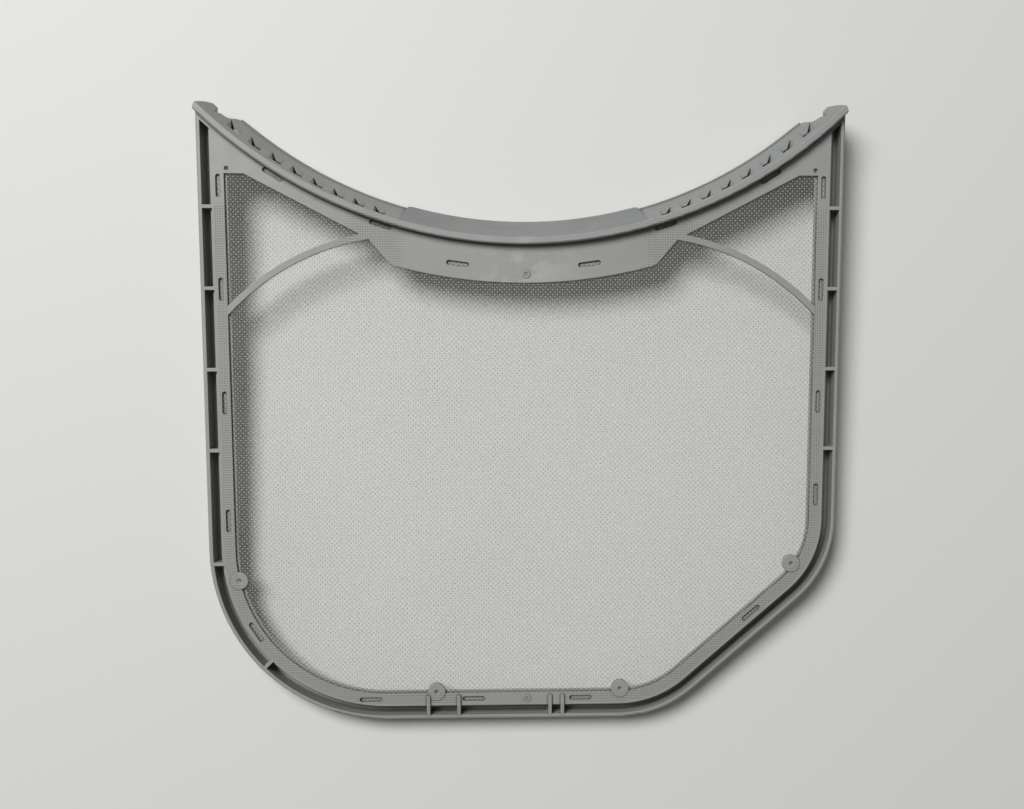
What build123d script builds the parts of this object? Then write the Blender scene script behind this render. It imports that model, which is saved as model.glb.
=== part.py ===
"""Lint filter of a tumble dryer: a grey plastic moulding with a woven screen moulded into it.

The filter lies on its back. X runs across it, Y from the foot edge up to the cap, and Z out of the screen.
It is drawn with Y = 0 at the foot edge and Z = 0 on the face that the rim, strip and panel share,
and the finished pieces are moved so that the origin is under the middle of the whole filter.
"""

from build123d import *
from math import cos, degrees, radians, sin, sqrt, tan
import os

# Overall outline
length = 281.5
head_width = 293.4
side_taper = 1.04
heel_radius = 80.0
slant_foot_x = 62.7
slant_angle = 40.5
slant_low_radius = 53.0
slant_high_radius = 49.0
horn_outer_radius = 5.2
horn_inner_radius = 2.4
horn_step = 5.0

# Section of the rail, from the outer edge inwards
rail_depth = 12.0
rim_wall = 1.9
rim_round = 1.1
channel_width = 3.4
channel_floor = 1.8
inner_wall = 1.8
ledge_width = 1.0
strip_width = 5.7
sheet_thickness = 2.4
flange_width = 1.2

# Lip and cap, drawn about one centre above the filter; the lip sags below the tops of the horns
lip_sag = 61.6
lip_end_drop = 0.9
lip_width = 2.95
lip_height = 5.0
lip_round = 0.8
cap_drop = 23.0
cap_setback = 7.7
cap_wall = 2.2
cap_end_ease = 0.05
bead_raise = 0.5
bead_depth = 1.6
channel_end_wall = 1.6

# Back edge of the cap beside the horns
horn_block_width = 7.9
notch_drop = 8.5
shoulder_run = 12.5

# Grip pad, measured along the lip from the middle
pad_half_length = 56.6
pad_raise = 1.6
pad_round = 2.5

# Louvred windows of the cap; their gaps and reach are measured back from the lip
window_count = 8
window_pad_gap = 11.8
window_end_gap = 13.7
window_first_gap = 0.5
window_last_gap = 1.7
window_length = 5.5
window_mouth = 2.6
window_reach = 3.2
window_slit = 0.7
mouth_drop = 13.0
tongue_drop = 3.0

# Panel and braces; the depths are measured from the front of the lip
panel_corner_gap = 21.2
panel_corner_depth = 8.1
panel_horn_x = 70.0
panel_horn_depth = 8.9
scallop_half_width = 60.2
scallop_depth = 17.2
scallop_corner_radius = 7.0
brace_width = 2.9
brace_foot_drop = 94.6
brace_rise = 21.7
brace_rise_gap = 39.9

# Ribs
rib_thickness = 1.6
rib_lowest_y = 124.0
rib_highest_drop = 47.7
rib_count = 4
heel_rib_y = 72.3
heel_rib_angle = 45.0
foot_rib_raise = 1.0
foot_rib_places = (-44.1, -30.2, 11.6, 17.3)

# Clamp recesses, lobes, bosses and holes
recess_length = 10.4
recess_width = 2.2
recess_inset = 9.3
recess_left_y = (92.0, 145.5)
recess_right_y = (102.6, 145.5)
recess_head_drops = (84.8, 38.5)
recess_foot_x = (-70.3, -23.3, 25.7)
recess_heel_angle = 33.5
recess_slant_along = 62.8
recess_lip_gap = 0.2
recess_lip_along = (64.3, 116.2)
recess_scallop_gap = 10.6
recess_scallop_along = 28.1
lobe_radius = 4.0
lobe_raise = 0.4
lobe_dimple_radius = 1.2
lobe_dimple_tip = 0.2
lobe_dimple_depth = 0.9
heel_lobe_angle = 193.0
heel_lobe_inset = 11.8
corner_lobe_angle = -35.6
corner_lobe_inset = 13.6
foot_lobe_places = ((-40.4, 12.6), (43.8, 13.3))
boss_radius = 1.7
boss_raise = 0.3
boss_dimple_radius = 0.9
boss_x = 1.1
panel_boss_gap = 13.3
foot_boss_inset = 9.3
peg_hole_diameter = 2.0
peg_hole_gap = 13.2
peg_hole_raise = 2.3

# Screen
screen_thickness = 0.4
screen_cover = 1.0
screen_edge_inset = 7.4
screen_pitch = 3.2
screen_wire = 1.2
screen_margin = 0.8
cross_wire_count = 6
cross_wire_width = 1.0
cross_wire_raise = 0.3

# How far a cutting shape runs past what it cuts
overrun = 30.0

# Insets and slopes that follow from the sizes above
taper = tan(radians(side_taper))
cap_slope = cap_setback / (lip_height + cap_drop)
ledge_inset = rim_wall + channel_width
strip_inset = ledge_inset + ledge_width
window_inset = strip_inset + strip_width
rail_inset = ledge_inset + inner_wall
beyond = length + lip_width + overrun

# The lip's arc, through its lowest point and its two ends on the sides of the outline
lip_rise = lip_sag - lip_end_drop
lip_half_span = head_width / 2 - lip_end_drop * taper
lip_radius = (lip_half_span**2 + lip_rise**2) / (2 * lip_rise)
lip_front = lip_radius + lip_width
arc_y = length - lip_sag + lip_radius
window_first = lip_radius * sin(pad_half_length / lip_radius) + window_pad_gap
window_pitch = (head_width / 2 - window_end_gap - window_first) / (window_count - 1)
window_gap_step = (window_last_gap - window_first_gap) / (window_count - 1)
horn_block_x = head_width / 2 - horn_block_width
shoulder_x = horn_block_x - shoulder_run
brace_foot_y = length - brace_foot_drop


def side_x(y):
    """Half width of the outline at a height above the foot edge."""
    return head_width / 2 - (length - y) * taper


def crossing(point, direction, other_point, other_direction):
    """Where two straight lines in the XY plane cross."""
    dx, dy = other_point[0] - point[0], other_point[1] - point[1]
    turn = direction[0] * other_direction[1] - direction[1] * other_direction[0]
    along = (dx * other_direction[1] - dy * other_direction[0]) / turn
    return (point[0] + along * direction[0], point[1] + along * direction[1])


def outline_corners(inset):
    """The five corners of the outline before rounding, moved inwards by the inset."""
    slant = (cos(radians(slant_angle)), sin(radians(slant_angle)))
    edge_shift = inset * sqrt(1 + taper**2)
    left = ((-side_x(0) + edge_shift, 0), (-taper, 1))
    right = ((side_x(0) - edge_shift, 0), (taper, 1))
    foot = ((0, inset), (1, 0))
    diagonal = ((slant_foot_x - inset * slant[1], inset * slant[0]), slant)
    top = ((0, beyond), (1, 0))
    sides = (top, left, foot, diagonal, right, top)
    return [crossing(*sides[i], *sides[i + 1]) for i in range(5)]


def corner_point(corner, radius, inset, angle):
    """A point inside one rounded corner of the outline, at an angle about the rounding's centre."""
    centre = outline_corners(radius)[corner]
    reach = radius - inset
    return (centre[0] + reach * cos(radians(angle)), centre[1] + reach * sin(radians(angle)))


def outline(inset):
    """The face inside the outline, moved inwards by the inset, and running on past the cap."""
    corners = outline_corners(inset)
    radii = [heel_radius - inset, slant_low_radius - inset, slant_high_radius - inset]
    edge = FilletPolyline(*corners, radius=radii)
    return make_face(edge.edges() + [Line(corners[-1], corners[0])])


def whole_plan():
    """The outline closed off at the top of the two horns, which are rounded."""
    plan = outline(0) & Pos(0, length / 2) * Rectangle(2 * head_width, length)
    plan -= Pos(0, length) * Rectangle(2 * horn_block_x, 2 * horn_step)
    tops = plan.vertices().group_by(Axis.Y)[-1].sort_by(Axis.X)
    plan = fillet([tops[0], tops[-1]], horn_outer_radius)
    tops = plan.vertices().group_by(Axis.Y)[-1].sort_by(Axis.X)
    return fillet(tops[1:-1], horn_inner_radius)


def disc(radius):
    """A disc about the centre of the lip's arc."""
    return Pos(0, arc_y) * Circle(radius)


def layer(face, bottom, top):
    """A face drawn out straight along Z between two levels."""
    return extrude(Pos(0, 0, bottom) * face, top - bottom, dir=(0, 0, 1))


def cap_cone(radius, setback):
    """A cone about the lip's centre that draws in from the top of the lip down to the cap's back edge."""
    middle = Pos(0, arc_y, (lip_height - cap_drop) / 2)
    return middle * Cone(radius - setback, radius, lip_height + cap_drop)


def arc_point(radius, angle):
    """A point on an arc about the lip's centre, at an angle from the middle, positive to the right."""
    return (radius * sin(radians(angle)), arc_y - radius * cos(radians(angle)))


def arc_angle(along):
    """The angle from the middle to a place that is measured along the back of the lip."""
    return degrees(along / lip_radius)


def arc_height(radius, x):
    """The height of an arc about the lip's centre at a distance from the middle."""
    return arc_y - sqrt(radius**2 - x**2)


def arc_sector(half_angle):
    """A wedge of the plan from the lip's centre, on both sides of the middle."""
    reach = 2 * lip_radius
    corners = [(0, arc_y), arc_point(reach, -half_angle), arc_point(reach, half_angle)]
    return make_face(Polyline(*corners, close=True))


def panel_face():
    """The panel under the lip: slanted shoulders and a scallop that follows the lip's arc."""
    scallop = lip_front + scallop_depth
    scallop_y = arc_height(scallop, scallop_half_width)
    left, right = (-scallop_half_width, scallop_y), (scallop_half_width, scallop_y)
    lower = ThreePointArc(left, arc_point(scallop, 0), right)
    upper = Polyline(right, (panel_horn_x, panel_horn_y), (panel_corner_x, panel_corner_y),
                     (head_width, panel_corner_y), (head_width, beyond), (-head_width, beyond),
                     (-head_width, panel_corner_y), (-panel_corner_x, panel_corner_y),
                     (-panel_horn_x, panel_horn_y), left)
    face = make_face([lower] + upper.edges())
    return fillet(face.vertices().group_by(Axis.Y)[0], scallop_corner_radius)


def brace_face(side):
    """One curved brace from the strip to the horn of the panel; side is -1 or 1."""
    foot = (side * (side_x(brace_foot_y) - window_inset + brace_width), brace_foot_y - brace_width)
    rise_y = brace_foot_y + brace_rise
    line = ThreePointArc(foot, (side * (side_x(rise_y) - brace_rise_gap), rise_y),
                         (side * (panel_horn_x - brace_width / 2), panel_horn_y + brace_width / 2))
    return trace(line, line_width=brace_width)


def window_faces(inset):
    """The openings in the sheet that the screen shows through, inside an inset from the outline."""
    return outline(inset) - panel_face() - brace_face(-1) - brace_face(1)


def rail():
    """The U-channel round both sides and the foot, its rim rounded outside."""
    blank = layer(whole_plan(), -rail_depth, 0)
    blank = fillet(blank.edges().group_by(Axis.Z)[-1], rim_round)
    channel = outline(rim_wall) - outline(ledge_inset) - disc(lip_front + channel_end_wall)
    ledge = outline(ledge_inset) - outline(strip_inset) - disc(lip_front + channel_end_wall)
    blank -= layer(outline(rail_inset), -rail_depth, 0)
    blank -= layer(channel, channel_floor - rail_depth, 0)
    return blank - layer(ledge, -sheet_thickness, 0)


def sheet():
    """The strip, panel and braces, which lie in one plane, and the strip's flange under the screen."""
    upper = layer(outline(strip_inset) - window_faces(window_inset), -sheet_thickness, 0)
    flange = outline(strip_inset) - window_faces(window_inset + flange_width)
    return upper + layer(flange, -sheet_thickness, -screen_cover - screen_thickness)


def lip():
    """The raised lip along the head of the panel."""
    face = (disc(lip_front) - disc(lip_radius)) & whole_plan()
    solid = layer(face, -sheet_thickness, lip_height)
    front = solid.edges().group_by(Axis.Z)[-1].filter_by(GeomType.CIRCLE).sort_by(SortBy.RADIUS)[-1]
    return fillet(front, lip_round)


def cap_back_cut():
    """What the cap's back edge lacks at both ends: a notch beside the horn and a curved shoulder."""
    reach = head_width
    low = -cap_drop - overrun
    middle = ((horn_block_x + shoulder_x) / 2, -(notch_drop + cap_drop) / 2)
    cut = Part()
    for side in (-1, 1):
        notch = (side * horn_block_x, -notch_drop)
        foot = (side * shoulder_x, -cap_drop)
        curve = Spline(notch, (side * middle[0], middle[1]), foot, tangents=[(-side, 0), (-side, 0)])
        rest = Polyline(foot, (side * shoulder_x, low), (side * reach, low), (side * reach, -rail_depth),
                        (side * horn_block_x, -rail_depth), notch)
        face = Plane.XZ * make_face([curve] + rest.edges())
        cut += extrude(face, beyond, both=True)
    return cut


def cap():
    """The sloping cap plate with its bead, grip pad and rounded horns."""
    inside = cap_cone(lip_radius + cap_wall, cap_setback)
    outside = cap_cone(lip_radius, cap_setback)
    pad = inside - cap_cone(lip_radius, cap_setback + pad_raise)
    pad &= layer(arc_sector(arc_angle(pad_half_length)), -cap_drop, lip_height)
    pad_ends = pad.edges().filter_by(GeomType.LINE).filter_by(lambda e: e.length < 2 * cap_wall)
    pad_ends = pad_ends.group_by(Axis.Z)[0]
    bead = outside - cap_cone(lip_radius - bead_raise, cap_setback)
    bead &= Pos(0, arc_y / 2, -cap_drop + bead_depth / 2) * Box(2 * head_width, 2 * arc_y, bead_depth)
    solid = inside - outside + fillet(pad_ends, pad_round) + bead
    solid &= layer(offset(whole_plan(), -cap_end_ease), -cap_drop, lip_height)
    return solid - cap_back_cut()


def cap_pocket(corners):
    """A recess in the cap, whose floor passes through the first three corners."""
    shaft = layer(make_face(Polyline(*[(x, y) for x, y, z in corners], close=True)), -cap_drop, lip_height)
    first, second, third = [Vector(*corner) for corner in corners[:3]]
    normal = (second - first).cross(third - first)
    if normal.Z < 0:
        normal = -normal
    size = 2 * (lip_height + cap_drop)
    above = Plane(first, z_dir=normal) * Pos(0, 0, size / 2) * Box(2 * size, 2 * size, size)
    return shaft & above


def window_cut(place, side):
    """One louvred window: a slit along the lip, a tongue behind it, and a mouth at the outer end."""
    outer = window_first + place * window_pitch
    front = window_first_gap + place * window_gap_step

    def corner(inwards, gap, drop=0):
        x = outer - inwards
        back = front + gap
        return (side * x, arc_height(lip_radius - back, x), lip_height - back / cap_slope - drop)

    slit = [corner(window_length, 0), corner(window_mouth, 0)]
    slit += [corner(window_mouth, window_slit), corner(window_length, window_slit)]
    mouth = [corner(0, 0), corner(0, window_reach), corner(window_mouth, window_slit, mouth_drop)]
    mouth += [corner(window_mouth, 0)]
    tongue = [corner(0, window_reach), corner(window_length, window_reach)]
    tongue += [corner(window_length, window_slit, tongue_drop), corner(window_mouth, window_slit)]
    cut = layer(make_face(Polyline(*[(x, y) for x, y, z in slit], close=True)), -cap_drop, lip_height)
    return cut + cap_pocket(mouth) + cap_pocket(tongue)


def cross_ribs():
    """The ribs that close the channel into cells on both sides and round the heel."""
    middle = rim_wall + (channel_width + ledge_width) / 2
    span = channel_width + ledge_width + rim_wall
    height = rail_depth - channel_floor
    block = Box(span, rib_thickness, height, align=(Align.CENTER, Align.CENTER, Align.MAX))
    pitch = (length - rib_highest_drop - rib_lowest_y) / (rib_count - 1)
    ribs = Part()
    for i in range(rib_count):
        y = rib_lowest_y + i * pitch
        ribs += Pos(side_x(y) - middle, y) * block
        ribs += Pos(middle - side_x(y), y) * block
    ribs += Pos(middle - side_x(heel_rib_y), heel_rib_y) * block
    heel = outline_corners(heel_radius)[1]
    ribs += Pos(*heel) * Rot(0, 0, 180 + heel_rib_angle) * Pos(heel_radius - middle, 0) * block
    return ribs


def foot_ribs():
    """The upright fins across the strip and channel at the foot."""
    start, end = rim_wall / 2, window_inset - rim_wall / 2
    profile = Polyline((start, channel_floor - rail_depth), (start, 0), (strip_inset, foot_rib_raise),
                       (end, foot_rib_raise), (end, -sheet_thickness / 2), (strip_inset, -sheet_thickness / 2),
                       (strip_inset, channel_floor - rail_depth), close=True)
    fin = extrude(Plane.YZ * make_face(profile), rib_thickness / 2, both=True)
    fins = Part()
    for x in foot_rib_places:
        fins += Pos(x, 0) * fin
    return fins


def recess_places():
    """Where the clamp recesses lie: a point and the turn of each."""
    places = []
    side_turn = 90 - side_taper
    head_y = tuple(length - drop for drop in recess_head_drops)
    for y in recess_left_y + head_y:
        places.append((recess_inset - side_x(y), y, 180 - side_turn))
    for y in recess_right_y + head_y:
        places.append((side_x(y) - recess_inset, y, side_turn))
    for x in recess_foot_x:
        places.append((x, recess_inset, 0))
    heel_place = corner_point(1, heel_radius, recess_inset, 180 + recess_heel_angle)
    places.append((*heel_place, recess_heel_angle - 90))
    slant = radians(slant_angle)
    places.append((slant_foot_x + recess_slant_along * cos(slant) - recess_inset * sin(slant),
                   recess_slant_along * sin(slant) + recess_inset * cos(slant), slant_angle))
    lip_edge = lip_front + recess_lip_gap + recess_width / 2
    for side in (-1, 1):
        for along in recess_lip_along:
            angle = side * arc_angle(along)
            places.append((*arc_point(lip_edge, angle), angle))
        angle = side * arc_angle(recess_scallop_along)
        places.append((*arc_point(lip_front + recess_scallop_gap, angle), angle))
    return places


def recesses():
    """The clamp recesses, open down to the screen."""
    shape = SlotOverall(recess_length, recess_width)
    cut = Part()
    for x, y, turn in recess_places():
        cut += layer(Pos(x, y) * Rot(0, 0, turn) * shape, -screen_cover, lip_height / 2)
    return cut


def lobe_places():
    """Where the lobes stand on the strip's inner edge."""
    places = [corner_point(1, heel_radius, heel_lobe_inset, heel_lobe_angle)]
    places += [corner_point(3, slant_high_radius, corner_lobe_inset, corner_lobe_angle)]
    places += foot_lobe_places
    return places


def lobes():
    """The round lobes on the strip's inner edge, each with its dimple."""
    lobe = layer(Circle(lobe_radius), -sheet_thickness, lobe_raise)
    lobe = fillet(lobe.edges().group_by(Axis.Z)[-1], lobe_raise / 2)
    dimple = Pos(0, 0, lobe_raise - lobe_dimple_depth / 2)
    lobe -= dimple * Cone(lobe_dimple_tip, lobe_dimple_radius, lobe_dimple_depth)
    solid = Part()
    for x, y in lobe_places():
        solid += Pos(x, y) * lobe
    return solid


def filter_frame(screen_envelope):
    """The whole moulding, with the groove that the screen's edge lies in."""
    above_cap = cap_cone(lip_radius, cap_setback)
    solid = rail() + sheet() + lip() - above_cap
    solid += cap() + cross_ribs() + foot_ribs() + lobes()
    for y in (arc_height(lip_front + panel_boss_gap, boss_x), foot_boss_inset):
        solid += Pos(boss_x, y) * layer(Circle(boss_radius), -screen_cover, boss_raise)
        solid -= Pos(boss_x, y) * layer(Circle(boss_dimple_radius), 0, boss_raise)
    for i in range(window_count):
        solid -= window_cut(i, -1)
        solid -= window_cut(i, 1)
    peg_y = panel_corner_y + peg_hole_raise
    for side in (-1, 1):
        place = Pos(side * (side_x(peg_y) - peg_hole_gap), peg_y)
        solid -= place * layer(Circle(peg_hole_diameter / 2), -rail_depth, 0)
    return solid - recesses() - screen_envelope


def screen_face():
    """The screen as it is cut, before its gaps."""
    return outline(screen_edge_inset) - disc(lip_front + recess_lip_gap / 2)


def screen_gaps():
    """The gaps between the wires that run up the screen."""
    open_area = outline(window_inset + screen_margin) - offset(panel_face(), screen_margin)
    for side in (-1, 1):
        open_area -= offset(brace_face(side), screen_margin)
    half_count = int((side_x(panel_corner_y) - window_inset) / screen_pitch)
    bars = Sketch()
    for i in range(-half_count, half_count + 1):
        bars += Pos(i * screen_pitch, length / 2) * Rectangle(screen_pitch - screen_wire, length)
    return open_area & bars


def lint_screen():
    """The woven screen: wires up it, and a few cross wires that stand proud."""
    level = -screen_cover - screen_thickness
    face = screen_face()
    solid = layer(face - screen_gaps(), level, -screen_cover)
    open_area = window_faces(window_inset)
    for x, y in lobe_places():
        open_area -= Pos(x, y) * Circle(lobe_radius)
    reach = panel_horn_y - window_inset
    for i in range(cross_wire_count):
        y = window_inset + (i + 0.5) * reach / cross_wire_count
        wire = Pos(0, y) * Rectangle(head_width, cross_wire_width) & open_area
        solid += layer(wire, -screen_cover - screen_thickness / 2, -screen_cover + cross_wire_raise)
    return solid


# Where the panel's corners lie under the lip
panel_corner_x = head_width / 2 - panel_corner_gap
panel_corner_y = arc_height(lip_front + panel_corner_depth, panel_corner_x)
panel_horn_y = arc_height(lip_front + panel_horn_depth, panel_horn_x)

os.makedirs("parts", exist_ok=True)
envelope = layer(screen_face(), -screen_cover - screen_thickness, -screen_cover)
pieces = {"filter_frame": filter_frame(envelope), "lint_screen": lint_screen()}
whole = pieces["filter_frame"].bounding_box()
under_middle = Pos(-whole.center().X, -whole.center().Y, -whole.min.Z)
for name, piece in pieces.items():
    piece = under_middle * piece
    export_step(piece, f"parts/{name}.step")
    box = piece.bounding_box()
    print(name, len(piece.solids()), round(piece.volume), box.min, box.max)
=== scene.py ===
"""Tumble dryer lint filter: the moulded grey frame with its woven screen, lying on a pale table."""

import bpy
from math import cos, pi, radians, sin, tan
from mathutils import Matrix, Vector
import numpy as np


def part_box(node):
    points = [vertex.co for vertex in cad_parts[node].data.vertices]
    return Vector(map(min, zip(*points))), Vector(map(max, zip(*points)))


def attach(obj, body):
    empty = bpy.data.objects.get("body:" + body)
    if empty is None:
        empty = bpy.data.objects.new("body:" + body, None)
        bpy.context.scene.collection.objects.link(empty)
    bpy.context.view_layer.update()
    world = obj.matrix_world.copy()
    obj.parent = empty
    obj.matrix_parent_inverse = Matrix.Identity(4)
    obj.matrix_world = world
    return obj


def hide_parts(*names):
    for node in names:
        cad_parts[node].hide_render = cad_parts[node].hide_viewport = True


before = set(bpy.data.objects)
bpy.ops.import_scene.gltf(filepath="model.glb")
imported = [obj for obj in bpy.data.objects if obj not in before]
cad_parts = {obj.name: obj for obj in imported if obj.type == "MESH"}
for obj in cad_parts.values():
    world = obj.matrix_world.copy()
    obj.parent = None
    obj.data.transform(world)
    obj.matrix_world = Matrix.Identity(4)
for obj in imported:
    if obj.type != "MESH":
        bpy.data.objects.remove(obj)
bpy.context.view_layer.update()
frame_low, frame_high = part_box("filter_frame")
screen_low, screen_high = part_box("lint_screen")

MM = 0.001

# Levels and edges of the moulding
LIP_HEIGHT = 5 * MM
RAIL_DEPTH = 12 * MM
FOOT_Y = frame_low.y
TOP_Y = frame_high.y
FACE_Z = frame_high.z - LIP_HEIGHT
HEAD_HALF = frame_high.x

# Outline of the moulding, as seen from above
SIDE_ANGLE = radians(1.04)
SLANT_FOOT_X = 62.7 * MM
SLANT_ANGLE = radians(40.5)
HEEL_RADIUS = 80 * MM
SLANT_LOW_RADIUS = 53 * MM
SLANT_HIGH_RADIUS = 49 * MM

# Straight edges of the outline, from the left horn round to the right one:
# a point and a direction of each
OUTLINE_EDGES = (
    (Vector((-HEAD_HALF, TOP_Y, 0)), Vector((sin(SIDE_ANGLE), -cos(SIDE_ANGLE), 0))),
    (Vector((0, FOOT_Y, 0)), Vector((1, 0, 0))),
    (Vector((SLANT_FOOT_X, FOOT_Y, 0)), Vector((cos(SLANT_ANGLE), sin(SLANT_ANGLE), 0))),
    (Vector((HEAD_HALF, TOP_Y, 0)), Vector((sin(SIDE_ANGLE), cos(SIDE_ANGLE), 0))),
)
CORNER_RADII = (HEEL_RADIUS, SLANT_LOW_RADIUS, SLANT_HIGH_RADIUS)
FAR_INSIDE = 1.0

# Lip and cap
LIP_RADIUS = 207.3 * MM
LIP_WIDTH = 2.95 * MM
LIP_SAG = 61.6 * MM
LIP_CENTRE_Y = TOP_Y - LIP_SAG + LIP_RADIUS
CAP_SETBACK = 7.7 * MM
CAP_WALL = 2.2 * MM
CAP_EDGE_FADE = 0.4 * MM
PAD_HALF = 55.9 * MM

# Strip that holds the edge of the screen
STRIP_START = 6.3 * MM
STRIP_END = 12 * MM
STRIP_TOP_Y = 95.4 * MM

# Print of the weave on the strip and on the feet of the braces
PRINT_START = STRIP_START + 0.5 * MM
PRINT_FULL = STRIP_START + 1.2 * MM
PRINT_END = STRIP_END + 0.5 * MM
PRINT_TOP_FADE = 4 * MM
SMOOTH_FOOT_LEFT = -29.6 * MM
SMOOTH_FOOT_RIGHT = 17.9 * MM
SMOOTH_FOOT_TOP = FOOT_Y + 14 * MM
BRACE_FOOT_X = 69 * MM
BRACE_FOOT_Y = FOOT_Y + 216 * MM
BRACE_PRINT_FADE = (9 * MM, 22 * MM)

# Flow mark at the gate on the panel
GATE = Vector((1.1 * MM, LIP_CENTRE_Y - LIP_RADIUS - LIP_WIDTH - 13.3 * MM, 0))
FLOW_FADE = (2 * MM, 34 * MM)
FLOW_STREAK = 9 * MM
FLOW_GAPS = (0.42, 0.62)

# Woven screen
WARP_PITCH = 1.095 * MM
WEFT_PITCH = 1.12 * MM
WIRE_DIAMETER = 0.4 * MM
WIRE_SIDES = 3
WIRE_JOIN = 0.01 * MM
SCREEN_Z = screen_low.z + 0.2 * MM
SCREEN_EDGE_INSET = 7.7 * MM
SCREEN_LIP_GAP = 0.4 * MM
SCREEN_CUTS = (-47 * MM, 43 * MM)

# Where the cap and the foot touch the table
CAP_REST = Vector((0, TOP_Y - LIP_SAG + CAP_SETBACK - CAP_WALL, frame_low.z))
FOOT_REST = Vector((0, FOOT_Y, FACE_Z - RAIL_DEPTH))

# Camera
CAMERA_HEIGHT = 620 * MM
CAMERA_LENS = 46.4
CAMERA_SENSOR = 36
CAMERA_ACROSS = -5.5 * MM
CAMERA_ALONG = 143.8 * MM
CAMERA_ROLL = radians(-0.16)
CAMERA_YAW = radians(-2.3)

# Lights and table
KEY_DIRECTION = Vector((-0.35, 0.405, 0.845))
KEY_DISTANCE = 2.6
KEY_SIZE = 1.3
KEY_POWER = 61
SKY_COLOUR = (1, 1, 1, 1)
SKY_STRENGTH = 0.14
FLOOR_SIZE = 6.0
FLOOR_COLOUR = (0.74, 0.745, 0.71, 1)
FLOOR_ROUGHNESS = 0.6

# Moulded plastic
PLASTIC_LIGHT = (0.335, 0.34, 0.322, 1)
PLASTIC_DARK = (0.3, 0.305, 0.292, 1)
PLASTIC_CLOUD = 60 * MM
PLASTIC_SPECK = 7 * MM
PLASTIC_ROUGHNESS = (0.5, 0.42)
# Painted shade in the pits of the weave print; the bump also presses the pits in
PIT_SHADE_COLOUR = (0.235, 0.24, 0.23, 1)
PIT_WIDTH = (0.3, 0.9)
PIT_SHADE_STRENGTH = 0.45
PIT_DEPTH = 0.12 * MM
FLOW_COLOUR = (0.43, 0.436, 0.415, 1)
FLOW_STRENGTH = 0.75
# Painted shade: the steep cap and its grip pad are darkened, as they face away from the light
CAP_SHADE_TINT = (0.77, 0.79, 0.815, 1)
PAD_SHADE_TINT = (0.8, 0.81, 0.82, 1)
# Painted shade: the colour and reach of the darkening in the corners, recesses and windows, found
# by ambient occlusion
CREVICE_SHADE_COLOUR = (0.1, 0.1, 0.095, 1)
CREVICE_REACH = 1.3 * MM
WINDOW_REACH = 2.6 * MM
CREVICE_DEPTH = 2 * MM
CREVICE_OPENNESS = (0.57, 0.98)
CREVICE_SHADE_STRENGTH = 0.85
CREVICE_SAMPLES = 8
GRAIN_SIZE = 0.35 * MM
GRAIN_HEIGHT = 0.02 * MM
EDGE_ROUNDING = 0.35 * MM
EDGE_SAMPLES = 6

# Screen filament
# Painted highlight and shade on the filament: crossings where the upright wire lies on top are lit
# up, the others darkened
FILAMENT_HIGHLIGHT_COLOUR = (0.98, 0.985, 0.92, 1)
FILAMENT_SHADE_COLOUR = (0.2, 0.202, 0.188, 1)
FILAMENT_ALPHA = 0.18
FILAMENT_ROUGHNESS = (0.5, 0.35)
KNUCKLE_WIDTH = (-0.8, 0.5)
KNUCKLE_HIGHLIGHT = 0.9
DUST_CLOUD = 40 * MM
DUST_SPECK = 4 * MM
DUST_SHARE = 0.2

# Uneven tone of a used surface
CLOUD_SHARE = 0.7
SPECK_SHARE = 0.3
HAZE_RANGE = (0.3, 0.7)

# Sockets of a Mix node that carry colours
MIX_COLOURS = (6, 7)
MIX_RESULT = 2


def deselect():
    """Leaves nothing selected."""
    bpy.ops.object.select_all(action="DESELECT")


def choose(obj):
    """Makes one object the only selected one, and the active one."""
    deselect()
    obj.select_set(True)
    bpy.context.view_layer.objects.active = obj


def repeat(obj, count, offset, **settings):
    """Copies a mesh in a row, each copy moved on by the offset."""
    choose(obj)
    row = obj.modifiers.new("row", "ARRAY")
    row.count = count
    row.use_relative_offset = False
    row.use_constant_offset = True
    row.constant_offset_displace = offset
    for name, value in settings.items():
        setattr(row, name, value)
    bpy.ops.object.modifier_apply(modifier=row.name)


def coordinates(items, what):
    """X, Y and Z of all of a mesh's vertices or faces."""
    values = np.empty(len(items) * 3)
    items.foreach_get(what, values)
    return values.reshape(-1, 3).T


# Outline of the moulding


def inward(direction):
    """The direction into the moulding from one of its edges."""
    return Vector((-direction.y, direction.x, 0))


def corner_arcs():
    """Centre, radius and the two edges' directions for each rounded corner of the outline."""
    arcs = []
    corners = zip(OUTLINE_EDGES, OUTLINE_EDGES[1:], CORNER_RADII)
    for (first, along), (second, away), radius in corners:
        normals = Matrix((inward(along), inward(away), (0, 0, 1)))
        reach = Vector((first.dot(inward(along)) + radius, second.dot(inward(away)) + radius, 0))
        arcs.append((normals.inverted() @ reach, radius, along, away))
    return arcs


def depth_inside(x, y):
    """How far inside the outline each of many points lies."""
    depth = np.full(len(x), FAR_INSIDE)
    for point, direction in OUTLINE_EDGES:
        normal = inward(direction)
        depth = np.minimum(depth, (x - point.x) * normal.x + (y - point.y) * normal.y)
    for centre, radius, along, away in corner_arcs():
        across, up = x - centre.x, y - centre.y
        corner = (across * along.x + up * along.y > 0) & (across * away.x + up * away.y < 0)
        depth = np.where(corner, radius - np.hypot(across, up), depth)
    return depth


# Node helpers


def fill(tree, socket, value):
    """Links a socket to another one, or sets its own value."""
    if isinstance(value, bpy.types.NodeSocket):
        tree.links.new(value, socket)
    else:
        socket.default_value = value


def node(tree, kind, inputs=None, **settings):
    """Adds a node with its settings and inputs."""
    made = tree.nodes.new("ShaderNode" + kind)
    for name, value in settings.items():
        setattr(made, name, value)
    for name, value in (inputs or {}).items():
        fill(tree, made.inputs[name], value)
    return made


def calc(tree, operation, *values):
    """A Math node's result."""
    made = node(tree, "Math", operation=operation)
    for socket, value in zip(made.inputs, values):
        fill(tree, socket, value)
    return made.outputs[0]


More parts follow.
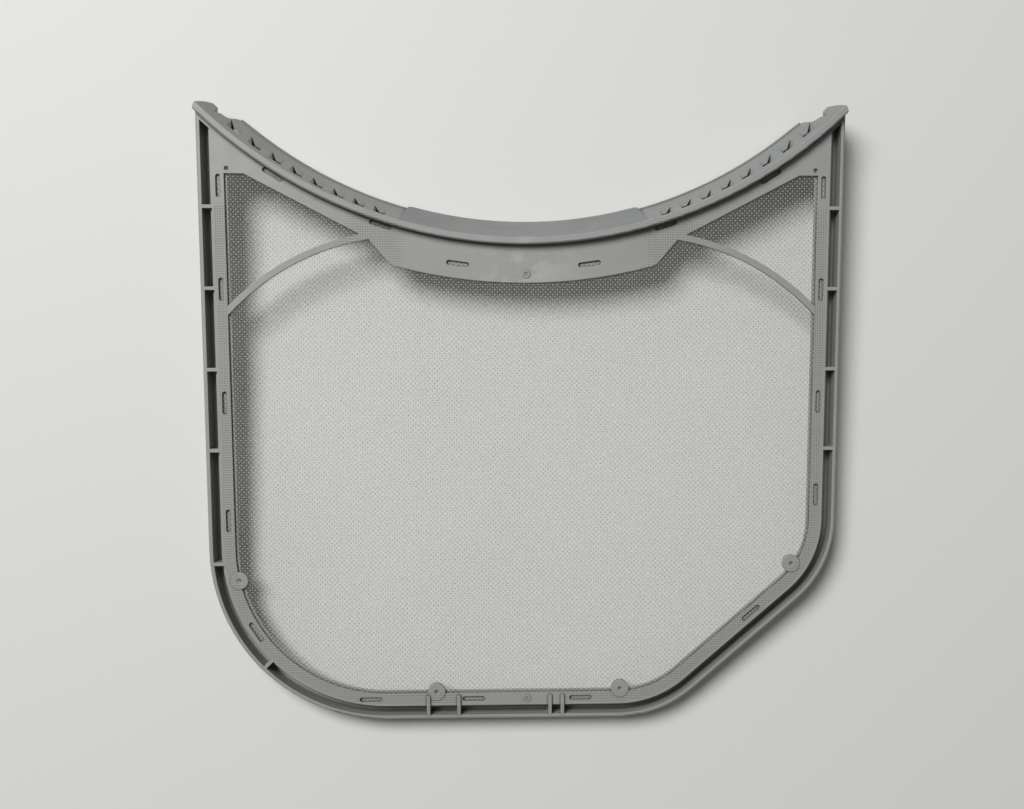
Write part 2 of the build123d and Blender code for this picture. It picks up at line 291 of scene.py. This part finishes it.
def vector_calc(tree, operation, first, second, output="Vector"):
    """A Vector Math node's result."""
    made = node(tree, "VectorMath", {0: first, 1: second}, operation=operation)
    return made.outputs[output]


def flatten(tree, vector):
    """A place as seen from above."""
    return vector_calc(tree, "MULTIPLY", vector, (1, 1, 0))


def coordinate(tree, vector, axis):
    """X, Y or Z of a place."""
    return node(tree, "SeparateXYZ", {"Vector": vector}).outputs[axis]


def ramp(tree, value, start, end, low=0.0, high=1.0):
    """A smooth step of a value from one level to another."""
    made = node(tree, "MapRange", {"Value": value, "From Min": start, "From Max": end,
                                   "To Min": low, "To Max": high}, interpolation_type="SMOOTHSTEP")
    return made.outputs["Result"]


def mix_colour(tree, factor, first, second, blend="MIX"):
    """One colour fading into another, or tinted by it."""
    made = node(tree, "Mix", {"Factor": factor, MIX_COLOURS[0]: first, MIX_COLOURS[1]: second},
                data_type="RGBA", blend_type=blend)
    return made.outputs[MIX_RESULT]


def noise(tree, vector, scale, detail, roughness=0.5):
    """Noise with this many grains to a metre."""
    made = node(tree, "TexNoise", {"Vector": vector, "Scale": scale, "Detail": detail,
                                   "Roughness": roughness})
    return made.outputs["Fac"]


def new_group(name, inputs, outputs):
    """An empty shader node group with its sockets, its input node and its output node."""
    group = bpy.data.node_groups.new(name, "ShaderNodeTree")
    for socket, kind in inputs.items():
        group.interface.new_socket(socket, in_out="INPUT", socket_type="NodeSocket" + kind)
    for socket, kind in outputs.items():
        group.interface.new_socket(socket, in_out="OUTPUT", socket_type="NodeSocket" + kind)
    return group, group.nodes.new("NodeGroupInput"), group.nodes.new("NodeGroupOutput")


def use_group(tree, group, **inputs):
    """Places a group in a material with its own values."""
    made = tree.nodes.new("ShaderNodeGroup")
    made.node_tree = group
    for name, value in inputs.items():
        fill(tree, made.inputs[name.replace("_", " ")], value)
    return made


# Effects that the materials share


def weave_group():
    """Over and under of a plain weave: 1 where the upright wire is on top, -1 where it is below."""
    inputs = {"Vector": "Vector", "Warp Pitch": "Float", "Weft Pitch": "Float"}
    group, start, end = new_group("weave", inputs, {"Over": "Float"})
    waves = []
    for axis, pitch in (("X", "Warp Pitch"), ("Y", "Weft Pitch")):
        place = coordinate(group, start.outputs["Vector"], axis)
        turns = calc(group, "DIVIDE", place, start.outputs[pitch])
        waves.append(calc(group, "COSINE", calc(group, "MULTIPLY", turns, pi)))
    group.links.new(calc(group, "MULTIPLY", *waves), end.inputs["Over"])
    return group


def haze_group():
    """Uneven tone of a used surface: broad clouds broken up by finer ones."""
    inputs = {"Vector": "Vector", "Cloud Size": "Float", "Speck Size": "Float"}
    group, start, end = new_group("haze", inputs, {"Tone": "Float"})
    tones = []
    for size, share in (("Cloud Size", CLOUD_SHARE), ("Speck Size", SPECK_SHARE)):
        scale = calc(group, "DIVIDE", 1.0, start.outputs[size])
        grains = noise(group, start.outputs["Vector"], scale, detail=3.0)
        tones.append(calc(group, "MULTIPLY", grains, share))
    group.links.new(ramp(group, calc(group, "ADD", *tones), *HAZE_RANGE), end.inputs["Tone"])
    return group


def wire_over(tree, weave, vector):
    """Which wire of the weave is on top at a place."""
    placed = use_group(tree, weave, Vector=vector, Warp_Pitch=WARP_PITCH, Weft_Pitch=WEFT_PITCH)
    return placed.outputs["Over"]


def haze_tone(tree, haze, vector, cloud, speck):
    """The uneven tone at a place, from the sizes of its clouds and specks."""
    return use_group(tree, haze, Vector=vector, Cloud_Size=cloud, Speck_Size=speck).outputs["Tone"]


# Materials


def new_material(name):
    """A material with its Principled shader, ready to be wired."""
    material = bpy.data.materials.new(name)
    material.use_nodes = True
    tree = material.node_tree
    return material, tree, tree.nodes["Principled BSDF"]


def edge_distance(tree, flat):
    """How far inside the moulding's outline a point lies."""
    nearest = FAR_INSIDE
    for point, direction in OUTLINE_EDGES:
        normal = inward(direction)
        reach = vector_calc(tree, "DOT_PRODUCT", flat, normal, "Value")
        nearest = calc(tree, "MINIMUM", calc(tree, "SUBTRACT", reach, point.dot(normal)), nearest)
    for centre, radius, along, away in corner_arcs():
        spoke = vector_calc(tree, "SUBTRACT", flat, centre)
        past_first = vector_calc(tree, "DOT_PRODUCT", spoke, along, "Value")
        past_second = vector_calc(tree, "DOT_PRODUCT", spoke, away, "Value")
        corner = calc(tree, "MULTIPLY", calc(tree, "GREATER_THAN", past_first, 0.0),
                      calc(tree, "LESS_THAN", past_second, 0.0))
        depth = calc(tree, "SUBTRACT", radius, vector_calc(tree, "DISTANCE", flat, centre, "Value"))
        change = calc(tree, "SUBTRACT", depth, nearest)
        nearest = calc(tree, "MULTIPLY_ADD", corner, change, nearest)
    return nearest


def imprint_mask(tree, vector):
    """Where the weave shows through the plastic: on the strip and where braces meet the panel."""
    inset = edge_distance(tree, flatten(tree, vector))
    x, y = coordinate(tree, vector, "X"), coordinate(tree, vector, "Y")
    strip = calc(tree, "MULTIPLY", ramp(tree, inset, PRINT_START, PRINT_FULL),
                 ramp(tree, inset, STRIP_END, PRINT_END, 1.0, 0.0))
    along_foot = calc(tree, "LESS_THAN", y, SMOOTH_FOOT_TOP)
    between = calc(tree, "MULTIPLY", calc(tree, "GREATER_THAN", x, SMOOTH_FOOT_LEFT),
                   calc(tree, "LESS_THAN", x, SMOOTH_FOOT_RIGHT))
    strip = calc(tree, "SUBTRACT", strip, calc(tree, "MULTIPLY", along_foot, between))
    below_top = ramp(tree, y, STRIP_TOP_Y - PRINT_TOP_FADE, STRIP_TOP_Y, 1.0, 0.0)
    strip = calc(tree, "MULTIPLY", strip, below_top)
    across = calc(tree, "SUBTRACT", calc(tree, "ABSOLUTE", x), BRACE_FOOT_X)
    up = calc(tree, "SUBTRACT", y, BRACE_FOOT_Y)
    squares = calc(tree, "MULTIPLY_ADD", across, across, calc(tree, "MULTIPLY", up, up))
    brace_foot = ramp(tree, calc(tree, "SQRT", squares), *BRACE_PRINT_FADE, 1.0, 0.0)
    return calc(tree, "MAXIMUM", calc(tree, "MAXIMUM", strip, 0.0), brace_foot)


def flow_mark(tree, vector):
    """Streaks that spread from the gate on the panel."""
    away = vector_calc(tree, "DISTANCE", flatten(tree, vector), GATE, "Value")
    moved = vector_calc(tree, "SUBTRACT", vector, GATE)
    streak = noise(tree, moved, 1 / FLOW_STREAK, detail=4.0, roughness=0.6)
    reach = ramp(tree, away, *FLOW_FADE, 1.0, 0.0)
    return calc(tree, "MULTIPLY", reach, ramp(tree, streak, *FLOW_GAPS))


def cap_masks(tree, vector):
    """Where the cap lies, behind the lip, and where the grip pad lies on it."""
    centre = Vector((0, LIP_CENTRE_Y, 0))
    reach = vector_calc(tree, "DISTANCE", flatten(tree, vector), centre, "Value")
    cap = ramp(tree, reach, LIP_RADIUS - CAP_EDGE_FADE, LIP_RADIUS, 1.0, 0.0)
    across = calc(tree, "ABSOLUTE", coordinate(tree, vector, "X"))
    return cap, calc(tree, "MULTIPLY", cap, calc(tree, "LESS_THAN", across, PAD_HALF))


def crevice_shade_mask(tree, vector, cap):
    """Painted shade in the narrow corners of the face and cap: recesses, windows and the foot of
    the lip, darker where ambient occlusion finds walls close by.
    """
    reach = ramp(tree, cap, 0.0, 1.0, CREVICE_REACH, WINDOW_REACH)
    shelter = node(tree, "AmbientOcclusion", {"Distance": reach},
                   samples=CREVICE_SAMPLES, only_local=True)
    painted_shade = ramp(tree, shelter.outputs["AO"], *CREVICE_OPENNESS, CREVICE_SHADE_STRENGTH, 0.0)
    face = calc(tree, "GREATER_THAN", coordinate(tree, vector, "Z"), FACE_Z - CREVICE_DEPTH)
    return calc(tree, "MULTIPLY", calc(tree, "MAXIMUM", cap, face), painted_shade)


def moulded_plastic(weave, haze):
    """Matt grey plastic: mould grain, print of the weave with painted shade in its pits, a flow
    mark, painted shade on the cap and pad, and painted shade in its corners.
    """
    material, tree, shader = new_material("moulded_grey_plastic")
    vector = node(tree, "TexCoord").outputs["Object"]
    tone = haze_tone(tree, haze, vector, PLASTIC_CLOUD, PLASTIC_SPECK)
    over = wire_over(tree, weave, vector)
    pits = ramp(tree, calc(tree, "ABSOLUTE", over), *PIT_WIDTH)
    pits = calc(tree, "MULTIPLY", imprint_mask(tree, vector), pits)
    flow = calc(tree, "MULTIPLY", flow_mark(tree, vector), FLOW_STRENGTH)
    cap, pad = cap_masks(tree, vector)
    colour = mix_colour(tree, tone, PLASTIC_DARK, PLASTIC_LIGHT)
    colour = mix_colour(tree, flow, colour, FLOW_COLOUR)
    # painted shade darkens the pits of the weave print
    colour = mix_colour(tree, calc(tree, "MULTIPLY", pits, PIT_SHADE_STRENGTH), colour, PIT_SHADE_COLOUR)
    # painted shade on the cap and on its grip pad
    colour = mix_colour(tree, cap, colour, CAP_SHADE_TINT, blend="MULTIPLY")
    colour = mix_colour(tree, pad, colour, PAD_SHADE_TINT, blend="MULTIPLY")
    # painted shade in the corners, recesses and windows
    colour = mix_colour(tree, crevice_shade_mask(tree, vector, cap), colour, CREVICE_SHADE_COLOUR)
    tree.links.new(colour, shader.inputs["Base Color"])
    tree.links.new(ramp(tree, tone, 0.0, 1.0, *PLASTIC_ROUGHNESS), shader.inputs["Roughness"])
    grain = calc(tree, "MULTIPLY", noise(tree, vector, 1 / GRAIN_SIZE, detail=3.0), GRAIN_HEIGHT)
    height = calc(tree, "MULTIPLY_ADD", pits, -PIT_DEPTH, grain)
    edges = node(tree, "Bevel", {"Radius": EDGE_ROUNDING}, samples=EDGE_SAMPLES)
    bump = node(tree, "Bump", {"Height": height, "Strength": 1.0, "Distance": 1.0,
                               "Normal": edges.outputs["Normal"]})
    tree.links.new(bump.outputs["Normal"], shader.inputs["Normal"])
    return material


def screen_filament(weave, haze):
    """Milky plastic filament: painted highlight at the crossings where the upright wire is on top,
    painted shade at the others, and dust lightens patches.
    """
    material, tree, shader = new_material("screen_filament")
    vector = node(tree, "TexCoord").outputs["Object"]
    tone = haze_tone(tree, haze, vector, DUST_CLOUD, DUST_SPECK)
    over = wire_over(tree, weave, vector)
    # painted highlight on the upper knuckles, painted shade where the upright wire dips under; dust
    # lightens too
    knuckle_highlight = ramp(tree, over, *KNUCKLE_WIDTH, 0.0, KNUCKLE_HIGHLIGHT)
    dust_and_highlight = calc(tree, "ADD", calc(tree, "MULTIPLY", tone, DUST_SHARE), knuckle_highlight)
    colour = mix_colour(tree, dust_and_highlight, FILAMENT_SHADE_COLOUR, FILAMENT_HIGHLIGHT_COLOUR)
    tree.links.new(colour, shader.inputs["Base Color"])
    tree.links.new(ramp(tree, tone, 0.0, 1.0, *FILAMENT_ROUGHNESS), shader.inputs["Roughness"])
    shader.inputs["Alpha"].default_value = FILAMENT_ALPHA
    return material


def pale_floor():
    """Plain pale laminate."""
    material, _, shader = new_material("pale_floor")
    shader.inputs["Base Color"].default_value = FLOOR_COLOUR
    shader.inputs["Roughness"].default_value = FLOOR_ROUGHNESS
    return material


# Woven screen


def wires(name, turned):
    """All wires of one direction, wide enough to cover the screen; turned ones run across it."""
    right, up, out = Vector((1, 0, 0)), Vector((0, 1, 0)), Vector((0, 0, 1))
    along, across = (right, up) if turned else (up, right)
    step, side = (WARP_PITCH, WEFT_PITCH) if turned else (WEFT_PITCH, WARP_PITCH)
    rise = WIRE_DIAMETER if turned else -WIRE_DIAMETER
    turn = (0, pi / 2, 0) if turned else (pi / 2, 0, 0)
    first = 2 * step * int(screen_low.dot(along) / (2 * step) - 1)
    first_side = 2 * side * int(screen_low.dot(across) / (2 * side) - 1)
    start = along * first + across * first_side + out * (SCREEN_Z - rise / 2)
    deselect()
    bpy.ops.mesh.primitive_circle_add(vertices=WIRE_SIDES, radius=WIRE_DIAMETER / 2,
                                      location=start, rotation=turn)
    obj = bpy.context.object
    obj.name = name
    bpy.ops.object.transform_apply(location=True, rotation=True, scale=True)
    bpy.ops.object.mode_set(mode="EDIT")
    for lift in (rise, -rise):
        move = {"value": along * step + out * lift}
        bpy.ops.mesh.extrude_region_move(TRANSFORM_OT_translate=move)
    bpy.ops.object.mode_set(mode="OBJECT")
    waves = int((screen_high.dot(along) - first) / (2 * step)) + 2
    repeat(obj, waves, along * 2 * step, use_merge_vertices=True, merge_threshold=WIRE_JOIN)
    repeat(obj, 2, along * step + across * side)
    pairs = int((screen_high.dot(across) - first_side) / (2 * side)) + 2
    repeat(obj, pairs, across * 2 * side)
    return obj


def trim(obj):
    """Cuts the wires off inside the strip and under the lip, and closes their ends."""
    mesh = obj.data
    x, y, _ = coordinates(mesh.vertices, "co")
    kept = depth_inside(x, y) > SCREEN_EDGE_INSET
    kept &= np.hypot(x, y - LIP_CENTRE_Y) > LIP_RADIUS + LIP_WIDTH + SCREEN_LIP_GAP
    choose(obj)
    mesh.polygons.foreach_set("select", np.zeros(len(mesh.polygons), bool))
    mesh.edges.foreach_set("select", np.zeros(len(mesh.edges), bool))
    mesh.vertices.foreach_set("select", ~kept)
    bpy.ops.object.mode_set(mode="EDIT")
    bpy.ops.mesh.select_mode(type="VERT")
    bpy.ops.mesh.delete(type="VERT")
    bpy.ops.mesh.select_all(action="SELECT")
    bpy.ops.mesh.fill_holes(sides=WIRE_SIDES)
    bpy.ops.mesh.normals_make_consistent(inside=False)
    bpy.ops.object.mode_set(mode="OBJECT")


def split_off(obj, edge, name):
    """Takes the wires left of an upright line into a piece of their own."""
    choose(obj)
    mesh = obj.data
    x, _, _ = coordinates(mesh.polygons, "center")
    bpy.ops.object.mode_set(mode="EDIT")
    bpy.ops.mesh.select_mode(type="FACE")
    bpy.ops.mesh.select_all(action="DESELECT")
    bpy.ops.object.mode_set(mode="OBJECT")
    mesh.polygons.foreach_set("select", x < edge)
    bpy.ops.object.mode_set(mode="EDIT")
    bpy.ops.mesh.separate(type="SELECTED")
    bpy.ops.object.mode_set(mode="OBJECT")
    piece = next(o for o in bpy.context.selected_objects if o is not obj)
    piece.name = name
    return piece


def woven_screen(material):
    """The screen in three pieces side by side, woven over and under."""
    warp, weft = wires("woven_screen_right", False), wires("screen_weft", True)
    choose(warp)
    weft.select_set(True)
    bpy.ops.object.join()
    trim(warp)
    left = split_off(warp, SCREEN_CUTS[0], "woven_screen_left")
    middle = split_off(warp, SCREEN_CUTS[1], "woven_screen_middle")
    for piece in (left, middle, warp):
        choose(piece)
        bpy.ops.object.shade_smooth()
        piece.data.materials.clear()
        piece.data.materials.append(material)
        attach(piece, "root")
        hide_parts("lint_screen")


# Table, light and camera


def table_axes():
    """Directions of the table under the filter: across, up the picture and out of the table."""
    up = (CAP_REST - FOOT_REST).normalized()
    across = Vector((1, 0, 0))
    return across, up, across.cross(up)


def floor_and_light(material):
    """The pale table, a soft lamp from the upper left and an even sky."""
    across, up, out = table_axes()
    facing = Matrix((across, up, out)).transposed()
    deselect()
    bpy.ops.mesh.primitive_plane_add(size=FLOOR_SIZE, location=FOOT_REST,
                                     rotation=facing.to_euler())
    floor = bpy.context.object
    floor.name = "table"
    floor.data.materials.append(material)
    towards = (across * KEY_DIRECTION.x + up * KEY_DIRECTION.y + out * KEY_DIRECTION.z).normalized()
    lamp = bpy.data.lights.new("key", "AREA")
    lamp.shape = "DISK"
    lamp.size = KEY_SIZE
    lamp.energy = KEY_POWER
    key = bpy.data.objects.new("key", lamp)
    key.location = towards * KEY_DISTANCE
    key.rotation_euler = towards.to_track_quat("Z", "Y").to_euler()
    bpy.context.scene.collection.objects.link(key)
    world = bpy.data.worlds.new("sky")
    world.use_nodes = True
    background = world.node_tree.nodes["Background"]
    background.inputs["Color"].default_value = SKY_COLOUR
    background.inputs["Strength"].default_value = SKY_STRENGTH
    bpy.context.scene.world = world


def overhead_camera():
    """The camera straight above the table."""
    across, up, out = table_axes()
    middle = FOOT_REST + up * CAMERA_ALONG + across * CAMERA_ACROSS
    data = bpy.data.cameras.new("camera")
    data.sensor_fit = "HORIZONTAL"
    data.sensor_width = CAMERA_SENSOR
    data.lens = CAMERA_LENS
    data.shift_x = tan(CAMERA_YAW) * data.lens / data.sensor_width
    camera = bpy.data.objects.new("camera", data)
    facing = Matrix((across, up, out)).transposed() @ Matrix.Rotation(CAMERA_ROLL, 3, "Z")
    facing @= Matrix.Rotation(CAMERA_YAW, 3, "Y")
    camera.matrix_world = Matrix.Translation(middle + out * CAMERA_HEIGHT) @ facing.to_4x4()
    bpy.context.scene.collection.objects.link(camera)
    bpy.context.scene.camera = camera


weave_effect = weave_group()
haze_effect = haze_group()
grey_plastic = moulded_plastic(weave_effect, haze_effect)
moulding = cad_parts["filter_frame"]
moulding.data.materials.clear()
moulding.data.materials.append(grey_plastic)
woven_screen(screen_filament(weave_effect, haze_effect))
floor_and_light(pale_floor())
overhead_camera()
bpy.context.scene.view_settings.view_transform = "Standard"
